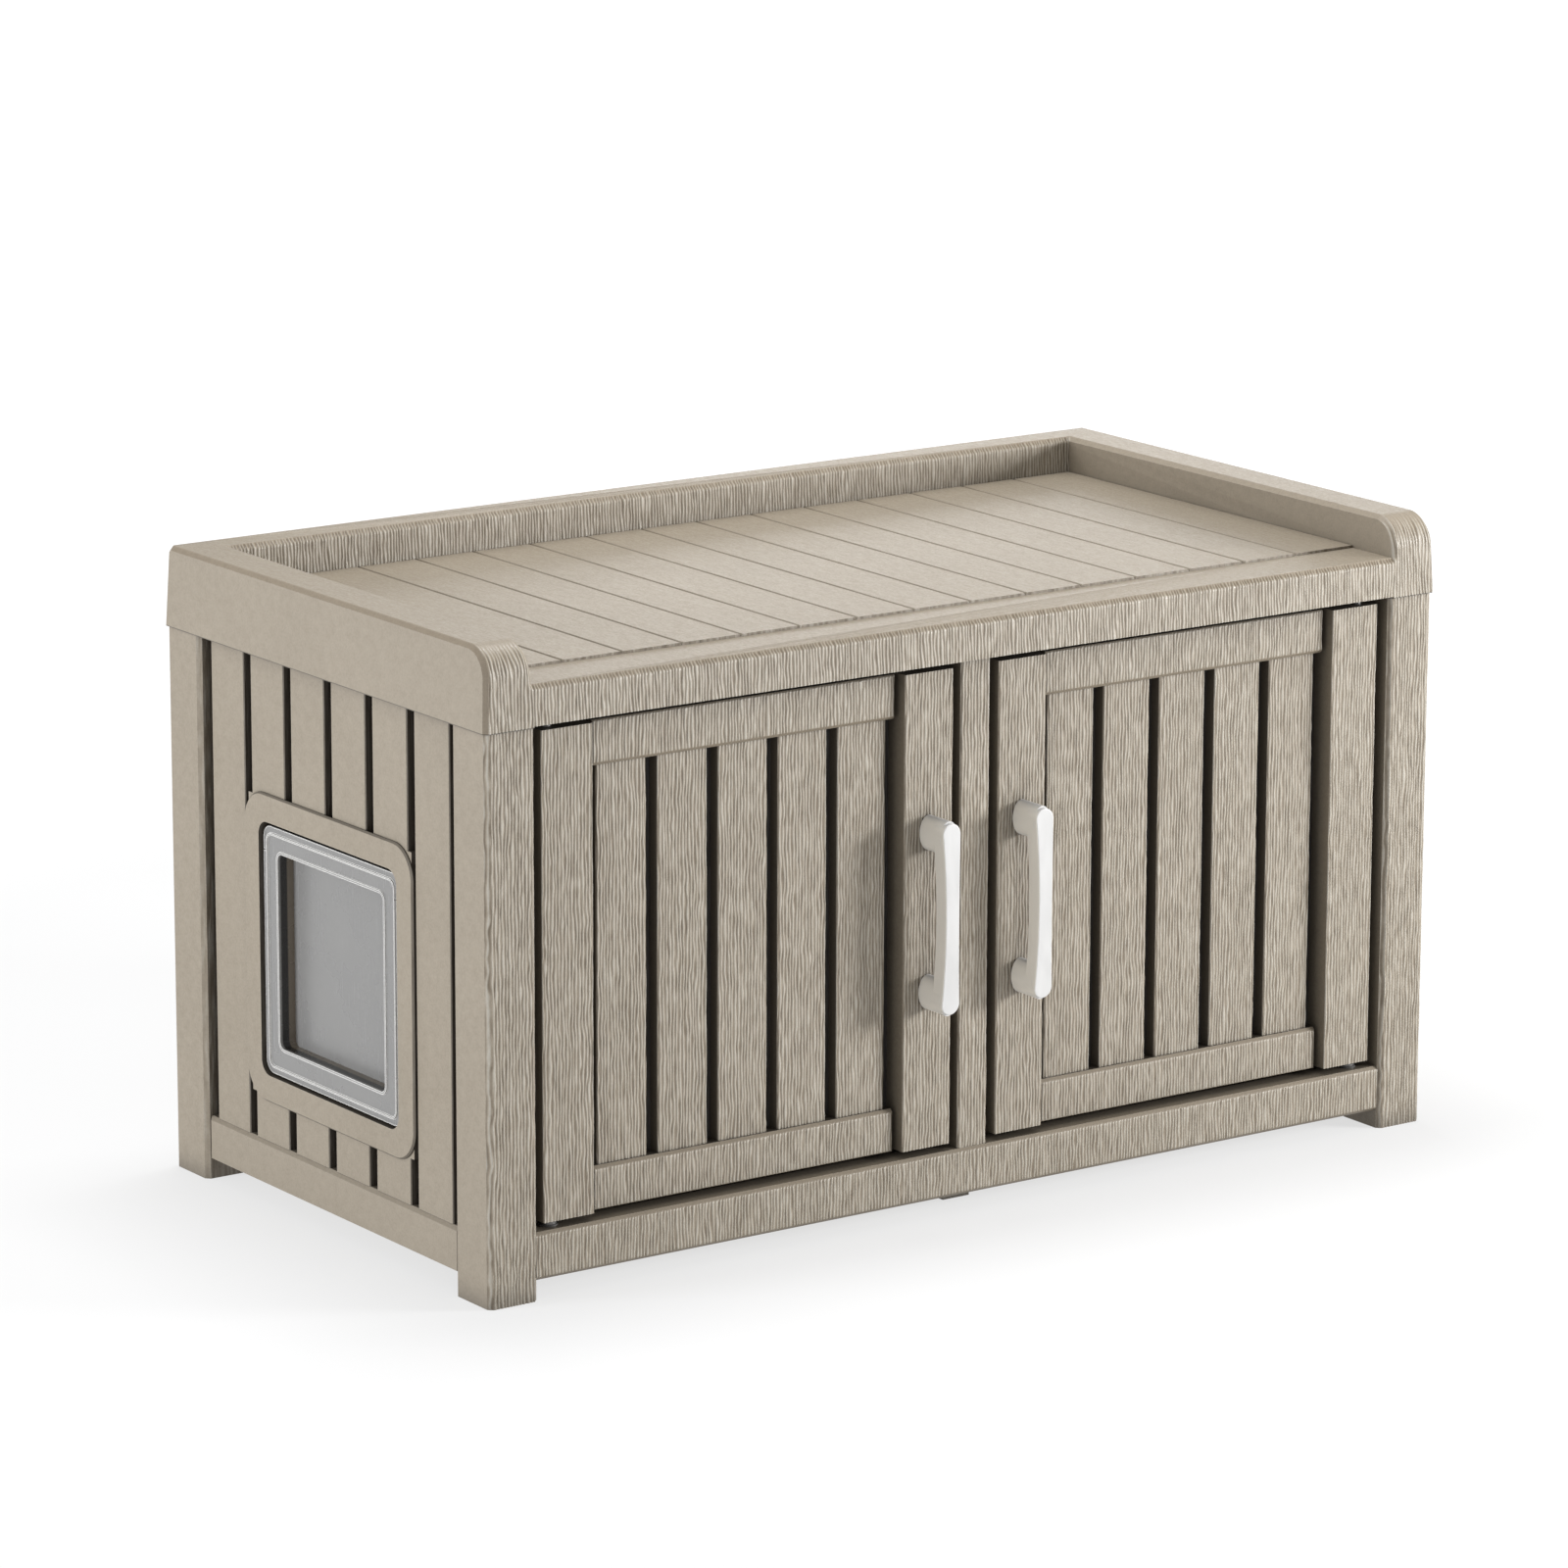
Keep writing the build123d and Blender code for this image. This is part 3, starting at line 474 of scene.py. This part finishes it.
def metal(name, colour, gloss, turned):
    """Plated steel with fine machining lines and dulled spots."""
    g = Graph(name)
    lines = g.noise(1.0, 2.0, 0.5, g.stretched(*turned))
    spots = g.noise(140.0, 3.0, 0.6)
    tint = g.mix(g.spread(spots, 0.5, 0.75, 0.0, 0.5), colour, tuple(c * 0.6 for c in colour))
    tint = g.mix(g.math("MULTIPLY", g.edge(0.4 * MM), 0.5), tint, tuple(min(1.0, c * 1.3) for c in colour))
    rough = g.spread(g.math("ADD", g.math("MULTIPLY", lines, 0.5), g.math("MULTIPLY", spots, 0.5)),
                     0.35, 0.65, gloss - 0.08, gloss + 0.14)
    return g.done(tint, rough, g.bump(lines, 0.25, 0.03 * MM), Metallic=1.0)


def clear_flap(name):
    """Smoky clear plastic with a dull skin and faint scratches; painted shade on its recess walls and a
    painted highlight along its rim.
    """
    g = Graph(name)
    haze = g.noise(26.0, 3.0, 0.55)
    grit = g.noise(700.0, 2.0, 0.6)
    scratches = g.noise(1.0, 1.0, 0.4, g.stretched(40, 900, 60), 0.6)
    scratches = g.spread(scratches, 0.66, 0.72, 0.0, 1.0)
    tint = g.ramp(haze, (0.35, (0.194, 0.190, 0.184)), (0.65, (0.204, 0.199, 0.192)))
    tint = g.mix(g.math("MULTIPLY", scratches, 0.05), tint, (0.6, 0.6, 0.6))
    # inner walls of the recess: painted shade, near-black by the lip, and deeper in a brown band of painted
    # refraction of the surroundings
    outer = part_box("flap_window")[0].x
    inside = g.spread(g.place(0), outer + 1.9 * MM, outer + 2.9 * MM, 0.0, 1.0)
    wall = g.math("MULTIPLY", g.spread(g.facing(0), 0.5, 0.8, 1.0, 0.0), inside)
    deep = g.spread(g.place(0), outer + 8.0 * MM, outer + 9.0 * MM, 0.0, 1.0)
    shade = g.mix(deep, (0.010, 0.009, 0.008), (0.14, 0.115, 0.085))
    tint = g.mix(g.math("MULTIPLY", wall, 0.93), tint, shade)
    # painted highlight along the rim, outside the recess
    rim_highlight = g.math("MULTIPLY", g.edge(2.0 * MM, 10), g.math("SUBTRACT", 0.8, g.math("MULTIPLY", inside, 0.8)))
    tint = g.mix(rim_highlight, tint, (0.82, 0.80, 0.76))
    rough = g.spread(g.math("ADD", haze, g.math("MULTIPLY", scratches, 0.4)), 0.3, 0.8, 0.22, 0.38)
    return g.done(tint, rough, g.bump(grit, 0.1, 0.02 * MM), Transmission_Weight=0.12, IOR=1.49)


def peg_wood(name):
    """Beech dowel: straight grain along the peg with small dark flecks."""
    g = Graph(name)
    rings = g.noise(1.0, 3.0, 0.6, g.stretched(420, 420, 22), 0.2)
    tint = g.ramp(rings, (0.3, (0.36, 0.22, 0.12)), (0.55, (0.56, 0.38, 0.22)), (0.8, (0.63, 0.45, 0.28)))
    return g.done(tint, g.spread(rings, 0.3, 0.7, 0.75, 0.55), g.bump(rings, 0.4, 0.08 * MM))


def grooves(node, axis, floor, wall):
    """Where a node's grooves are painted in shade (their floors) and where light again, in from its outer
    face.
    """
    low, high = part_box(node)
    face = max(abs(low[axis]), abs(high[axis]))
    return axis, face - floor, face - wall


MATERIALS = {
    "composite": composite("composite_board", CREST, MIDDLE, VALLEY, 0.50),
    "tray_composite": composite("tray_board", CREST, MIDDLE, VALLEY, 0.44, corner_shade=0.3),
    "surround_composite": composite("surround_board", CREST, MIDDLE, VALLEY, 0.52, dark_edges=True),
    # the handles' sides get painted bounce light, brighter and warmer than their fronts
    "handle_white": plastic("handle_white_satin", (0.500, 0.497, 0.492), 0.36, 1500.0, 0.03,
                            side_light_tint=(0.730, 0.695, 0.630)),
    "flap_clear": clear_flap("flap_smoky_clear"),
    "bush_plastic": plastic("bush_dark_plastic", (0.045, 0.043, 0.040), 0.45),
    "catch_plastic": plastic("catch_brown_plastic", (0.10, 0.075, 0.055), 0.42),
    # the pin is painted dark: painted shade, as it sits in the shaded gap at the doors' top corners
    "pin_steel": metal("pin_steel_painted_shade", (0.16, 0.155, 0.15), 0.45, (900, 900, 60)),
    "strike_steel": metal("strike_plate_steel", (0.52, 0.51, 0.50), 0.34, (60, 900, 900)),
    "magnet_steel": metal("magnet_nickel", (0.46, 0.45, 0.43), 0.30, (500, 500, 500)),
    "peg_wood": peg_wood("peg_beech"),
}
side_wall = composite("side_wall_board", CREST, MIDDLE, VALLEY, 0.52, dark_edges=True,
                      recess=grooves("side_wall_left", 0, 7.5 * MM, 6.3 * MM))
back_wall = composite("back_wall_board", CREST, MIDDLE, VALLEY, 0.52,
                      recess=grooves("back_wall", 1, 7.55 * MM, 6.35 * MM))
deck = composite("deck_board_grooved", CREST, MIDDLE, VALLEY, 0.44, corner_shade=0.5,
                 recess=grooves("deck_board", 2, 1.9 * MM, 0.9 * MM))
# near-black door panels: painted shade in the gaps between the door boards
shaded_panel = composite("door_panel_painted_shade", PANEL_SHADE, DARK, DARK, 0.6)
OWN_MATERIAL = {"side_wall_left": side_wall, "side_wall_right": side_wall, "back_wall": back_wall,
                "deck_board": deck, "door_panel_left": shaded_panel, "door_panel_right": shaded_panel}
for node, part in frame["nodes"].items():
    for index, old in enumerate(part.data.materials):
        part.data.materials[index] = OWN_MATERIAL.get(node) or MATERIALS[old.name.split(".")[0]]


# ---------------------------------------------------------------- boards
def finish_board(shape, node):
    shape.finish(node + "_combed", node, "composite", MATERIALS["composite"])


def board_for(node, **bevels):
    """Replace a node by one combed board of the same outline."""
    low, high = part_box(node)
    shape = Shape()
    combed_board(shape, low.x, high.x, low.y, high.y, low.z, high.z, **bevels)
    finish_board(shape, node)


RAIL_KINDS = (("top", 0.4, dict(low=RAIL_BEVEL, high=TOP_BEVEL)),
              ("bottom", 0.9, dict(low=PLANK_BEVEL, high=RAIL_BEVEL)))
for place, turn in LEG_GRAIN.items():
    board_for("leg_front_" + place, side=EDGE_BEVEL, back=EDGE_BEVEL, shift=turn)
    for kind, more in STILE_GRAIN.items():
        board_for("door_" + kind + "_stile_" + place, side=STILE_BEVEL, shift=turn + more,
                  dark_ends=GAP_SHADE, dark_sides=OPEN_SHADE)
    for level, more, bevels in RAIL_KINDS:
        board_for("door_" + level + "_rail_" + place, side=PLANK_BEVEL, smooth_ends=True, shift=turn + more,
                  dark_ends=GAP_SHADE, dark_sides=INNER_SHADE, **bevels)
board_for("centre_post", side=POST_BEVEL, shift=POST_GRAIN, dark_sides=OPEN_SHADE)

for place, turn in PLANK_GRAIN.items():
    node = "door_planks_" + place
    low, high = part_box(node)
    pitch = (high.x - low.x - PLANK_WIDTH) / (PLANKS - 1)
    shape = Shape()
    for k in range(PLANKS):
        x0 = low.x + k * pitch
        combed_board(shape, x0, x0 + PLANK_WIDTH, low.y, high.y, low.z, high.z, side=PLANK_BEVEL,
                     shift=turn + NEXT_PLANK * k, dark_sides=INNER_SHADE)
    finish_board(shape, node)

low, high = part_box("base_rail_front")
shape = Shape()
combed_board(shape, low.x, high.x, low.y, high.y - LEDGE_BACK, BASE_RAIL_LOW, high.z, low=RAIL_BEVEL,
             high=RAIL_BEVEL, smooth_ends=True, shift=BASE_RAIL_GRAIN)
shape.block(low.x, high.x, high.y - LEDGE_BACK, high.y, LEDGE_LOW, LEDGE_HIGH)
shape.block(-FOOT_HALF, FOOT_HALF, high.y - LEDGE_BACK, high.y, low.z, LEDGE_LOW)
finish_board(shape, "base_rail_front")


# ---------------------------------------------------------------- tray
tray_low, tray_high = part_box("tray_frame")
bottom, top = tray_low.z, tray_high.z
front, back = tray_low.y, tray_high.y


def front_at(z):
    return front + SKIRT_LEAN * (z - bottom)


def back_at(z):
    return back - SKIRT_LEAN * (z - bottom)


def outer_at(z):
    return tray_high.x - SKIRT_LEAN * (z - bottom)


def inner_at(z):
    return np.maximum(RAIL_INNER_TOP - SKIRT_LEAN * (top - z), BEAM_INNER)


def rail_inner_back(z):
    """Face of the back rail that looks into the tray."""
    return back_at(top) - BACK_RAIL - SKIRT_LEAN * (top - z)


def side_rail(side):
    """One side of the tray: skirt and rail in one, with the rounded front end. side is -1 or 1."""
    # outline from the front's foot, over the rounded end and the top, down the back
    turn_z = top - RAIL_END_RADIUS
    centre_y = front_at(turn_z) + RAIL_END_RADIUS
    strip_edge = (STRIP_TOP - EDGE_BEVEL, STRIP_TOP)
    path = [(front_at(z), z, 0.0) for z in steps(bottom, turn_z, ROW_STEP, strip_edge)]
    for a in np.radians(np.arange(RAIL_TURN, 90.5, RAIL_TURN)):
        path.append((centre_y - RAIL_END_RADIUS * math.cos(a), turn_z + RAIL_END_RADIUS * math.sin(a), a))
    inner_back = rail_inner_back(top)
    corner = (inner_back, inner_back + EDGE_BEVEL / 2, inner_back + EDGE_BEVEL)
    for y in steps(centre_y, back_at(top) - EDGE_BEVEL, RAIL_ROW, corner)[1:]:
        path.append((y, top, math.pi / 2))
    path.append((back_at(top - EDGE_BEVEL), top - EDGE_BEVEL, math.pi))
    path.append((back_at(bottom), bottom, math.pi))
    Y, Z, A = (np.array(c) for c in zip(*path))
    A[-3], A[-2] = BACK_EDGE_TURNS
    # rows across it, with bevels along the outer edge and the open part of the inner one
    inner, outer = inner_at(Z), outer_at(Z)
    columns = steps(0.0, 1.0, GRAIN_STEP / (outer[0] - inner[0]))
    X = inner[:, None] + (outer - inner)[:, None] * columns[None, :]
    from_inner, from_outer = X - inner[:, None], outer[:, None] - X
    past_back = (Y - rail_inner_back(Z))[:, None]
    open_side = np.clip((Z - (STRIP_TOP - EDGE_BEVEL)) / EDGE_BEVEL, 0, 1)[:, None]
    at_back = np.arange(len(Y)) >= len(Y) - 3
    inner_cut = np.where(at_back[:, None], 0, open_side * EDGE_BEVEL - np.maximum(from_inner, past_back))
    cut = np.maximum.reduce([inner_cut, EDGE_BEVEL - from_outer, np.zeros_like(X)])
    # combed front, smooth outer band and top
    comb = np.clip((COMBED_TO - A) / COMBING_FADE, 0, 1)[:, None]
    outer_band = np.clip((EDGE_BEVEL - from_outer) / OUTER_BAND_FADE, 0, 1)
    height = grain(side * X, np.broadcast_to(Z[:, None], X.shape), TRAY_FRONT_GRAIN)
    comb = comb * (1 - outer_band)
    sink = cut + comb * (1 - height) * GRAIN_DEPTH
    along_y, along_z = -np.cos(A)[:, None], np.sin(A)[:, None]
    points = np.stack([side * X, Y[:, None] - along_y * sink, Z[:, None] - along_z * sink], axis=-1)
    value = comb * (height - 0.5) - OUTER_BAND_TONE * outer_band * (A < math.pi)[:, None]
    shape = Shape()
    shape.grid(points, value, (0, -1, 0))
    shape.polygon(points[:, 0], (-side, 0, 0))
    shape.polygon(points[:, -1], (side, 0, 0))
    shape.polygon(list(points[0]) + list(points[-1][::-1]), (0, 0, -1), GAP_SHADE)
    return shape


def cross_rail(path, combed_rows, shift):
    """A part of the tray that runs from side to side. path holds (y, z, turn) stations."""
    Y, Z, A = (np.array(c) for c in zip(*path))
    xs = steps(-RAIL_INNER_TOP, RAIL_INNER_TOP, GRAIN_STEP)
    X, ZZ = np.meshgrid(xs, Z)
    comb = np.array(combed_rows)[:, None]
    run_back = np.cumsum(np.abs(np.diff(Y, prepend=Y[0])))
    height = grain(X, ZZ + run_back[:, None], shift)
    sink = comb * (1 - height) * GRAIN_DEPTH
    points = np.stack([X, Y[:, None] + np.cos(A)[:, None] * sink, ZZ - np.sin(A)[:, None] * sink], axis=-1)
    bevel = (A > 0)[:, None]
    return points, comb * (height - 0.5) - COMBED_BEVEL_TONE * bevel * comb


for side, place in ((-1, "left"), (1, "right")):
    side_rail(side).finish("tray_side_" + place, "tray_frame", "tray_composite", MATERIALS["tray_composite"])

ends = (-RAIL_INNER_TOP, RAIL_INNER_TOP)


def across(ya, za, yb, zb):
    """The corners of a flat face that runs from end to end."""
    return [(ends[0], ya, za), (ends[1], ya, za), (ends[1], yb, zb), (ends[0], yb, zb)]


# front strip: leaning face, combed bevel, plain top
shape = Shape()
strip_low = bottom + STRIP_LIFT
bevel_start = STRIP_TOP - EDGE_BEVEL
path = [(front_at(z), z, 0.0) for z in steps(strip_low, bevel_start, ROW_STEP)]
face_top, bevel_top = front_at(bevel_start), front_at(STRIP_TOP) + EDGE_BEVEL
path += [(face_top + t * (bevel_top - face_top), bevel_start + t * EDGE_BEVEL, math.pi / 4)
         for t in BEVEL_STATIONS]
points, value = cross_rail(path, [1.0] * (len(path) - 2) + list(BEVEL_COMBING), TRAY_FRONT_GRAIN)
shape.grid(points, value, (0, -1, 0))
strip_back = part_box("deck_board")[0].y - STRIP_TO_DECK
shape.polygon(list(points[-1]) + [(x, strip_back, STRIP_TOP) for x in reversed(ends)], (0, 0, 1))
shape.polygon(across(strip_back, DECK_SEAT, strip_back, STRIP_TOP), (0, 1, 0))
shape.polygon(list(points[0]) + [(x, strip_back, strip_low) for x in reversed(ends)], (0, 0, -1), GAP_SHADE)
# ledges that carry the deck, all the way round
rail_foot = rail_inner_back(DECK_SEAT)
for y0, y1 in ((strip_back, strip_back + DECK_LEDGE), (rail_foot - DECK_LEDGE, rail_foot)):
    shape.block(-BEAM_INNER, BEAM_INNER, y0, y1, bottom, DECK_SEAT)
for side in (-1, 1):
    a, b = sorted((side * BEAM_INNER, side * (BEAM_INNER - DECK_LEDGE)))
    shape.block(a, b, strip_back + DECK_LEDGE, rail_foot - DECK_LEDGE, bottom, DECK_SEAT)
shape.finish("tray_front_strip", "tray_frame", "tray_composite", MATERIALS["tray_composite"])

# back rail: combed inner face and bevel, plain top, leaning back
shape = Shape()
bevel_start = top - EDGE_BEVEL
face_top, bevel_top = rail_inner_back(bevel_start), rail_inner_back(top) + EDGE_BEVEL
path = [(rail_inner_back(z), z, 0.0) for z in steps(DECK_SEAT, bevel_start, ROW_STEP)]
path += [(face_top + t * (bevel_top - face_top), bevel_start + t * EDGE_BEVEL, math.pi / 4)
         for t in BEVEL_STATIONS]
points, value = cross_rail(path, [1.0] * (len(path) - 2) + list(BEVEL_COMBING), BACK_RAIL_GRAIN)
shape.grid(points, value, (0, -1, 0))
outer_top = back_at(top) - EDGE_BEVEL
shape.polygon(list(points[-1]) + [(x, outer_top, top) for x in reversed(ends)], (0, 0, 1))
outline = [(outer_top, top), (back_at(bevel_start), bevel_start), (back_at(bottom), bottom),
           (rail_foot, bottom), (rail_foot, DECK_SEAT)]
for start, end, out in zip(outline, outline[1:], ((0, 1, 1), (0, 1, 0), (0, 0, -1), (0, -1, 0))):
    shape.polygon(across(*start, *end), out)
shape.finish("tray_back_rail", "tray_frame", "tray_composite", MATERIALS["tray_composite"])


# ---------------------------------------------------------------- camera, floor and light
CAMERA_PLACE = Vector((-3.17484, -4.49405, 1.61974))
AZIMUTH, ELEVATION, ROLL = (math.radians(a) for a in (-34.973324, 13.456, 0.142989))
SENSOR_WIDTH, FOCAL_LENGTH = 36.0, 161.505      # in millimetres
FAR_CLIP = 200.0
FLOOR_REACH = 60.0
GLOW_NEAR, GLOW_FAR = (1.1, 0.68), (3.5, 1.04)  # the floor's own light: distance from the middle, strength
WORLD_STRENGTH = 0.56

camera_data = bpy.data.cameras.new("camera")
camera_data.sensor_width = SENSOR_WIDTH
camera_data.lens = FOCAL_LENGTH
camera_data.clip_end = FAR_CLIP
camera = bpy.data.objects.new("camera", camera_data)
bpy.context.scene.collection.objects.link(camera)
bpy.context.scene.camera = camera
away = Vector((math.sin(AZIMUTH) * math.cos(ELEVATION), -math.cos(AZIMUTH) * math.cos(ELEVATION),
               math.sin(ELEVATION)))
right = Vector((0, 0, 1)).cross(away).normalized()
up = away.cross(right)
level_x = math.cos(ROLL) * right + math.sin(ROLL) * up
level_y = -math.sin(ROLL) * right + math.cos(ROLL) * up
axes = Matrix((level_x, level_y, away)).transposed().to_4x4()
camera.matrix_world = Matrix.Translation(CAMERA_PLACE) @ axes

floor_mesh = bpy.data.meshes.new("floor")
corners = [(FLOOR_REACH * x, FLOOR_REACH * y, 0) for x, y in ((-1, -1), (1, -1), (1, 1), (-1, 1))]
floor_mesh.from_pydata(corners, [], [(0, 1, 2, 3)])
floor = bpy.data.objects.new("floor", floor_mesh)
bpy.context.scene.collection.objects.link(floor)
g = Graph("floor_white")
length = g.add("ShaderNodeVectorMath", operation="LENGTH")
g.put(length.inputs[0], g.coords)
glow = g.spread(length.outputs["Value"], GLOW_NEAR[0], GLOW_FAR[0], GLOW_NEAR[1], GLOW_FAR[1])
g.put(g.surface.inputs["Emission Strength"], glow)
g.surface.inputs["Emission Color"].default_value = (1.0, 1.0, 1.0, 1.0)
pale = g.ramp(g.noise(3.0, 2.0, 0.5), (0.3, (0.196, 0.196, 0.196)), (0.7, (0.201, 0.201, 0.201)))
floor_mesh.materials.append(g.done(pale, 0.9, Specular_IOR_Level=0.0))

world = bpy.data.worlds.new("studio")
bpy.context.scene.world = world
world.use_nodes = True
background = world.node_tree.nodes["Background"]
background.inputs["Color"].default_value = (1.0, 1.0, 1.0, 1.0)
background.inputs["Strength"].default_value = WORLD_STRENGTH


def soft_box(name, place, aim, width, height, power, tint=(1.0, 1.0, 1.0)):
    """A rectangular lamp that faces the aim point."""
    data = bpy.data.lights.new(name, "AREA")
    data.shape = "RECTANGLE"
    data.size, data.size_y = width, height
    data.energy = power
    data.color = tint
    lamp = bpy.data.objects.new(name, data)
    bpy.context.scene.collection.objects.link(lamp)
    lamp.location = place
    lamp.rotation_euler = (Vector(aim) - Vector(place)).to_track_quat("-Z", "Y").to_euler()


soft_box("key", (2.4, -2.0, 0.85), (0.0, -0.2, 0.25), 0.8, 0.7, 124.0)
soft_box("front_left", (-1.7, -2.8, 0.7), (0.0, -0.2, 0.25), 0.8, 0.6, 10.0)
soft_box("left_fill", (-3.4, 0.6, 0.75), (-0.45, 0.0, 0.25), 0.9, 0.9, 86.0, (0.97, 1.0, 1.045))
soft_box("overhead", (0.1, 0.3, 3.0), (0.0, 0.0, 0.5), 1.0, 0.8, 74.0)
soft_box("back_sheen", (1.7, 1.85, 1.05), (0.35, 0.0, 0.5), 1.5, 0.5, 6.5)

bpy.context.scene.view_settings.view_transform = "Standard"
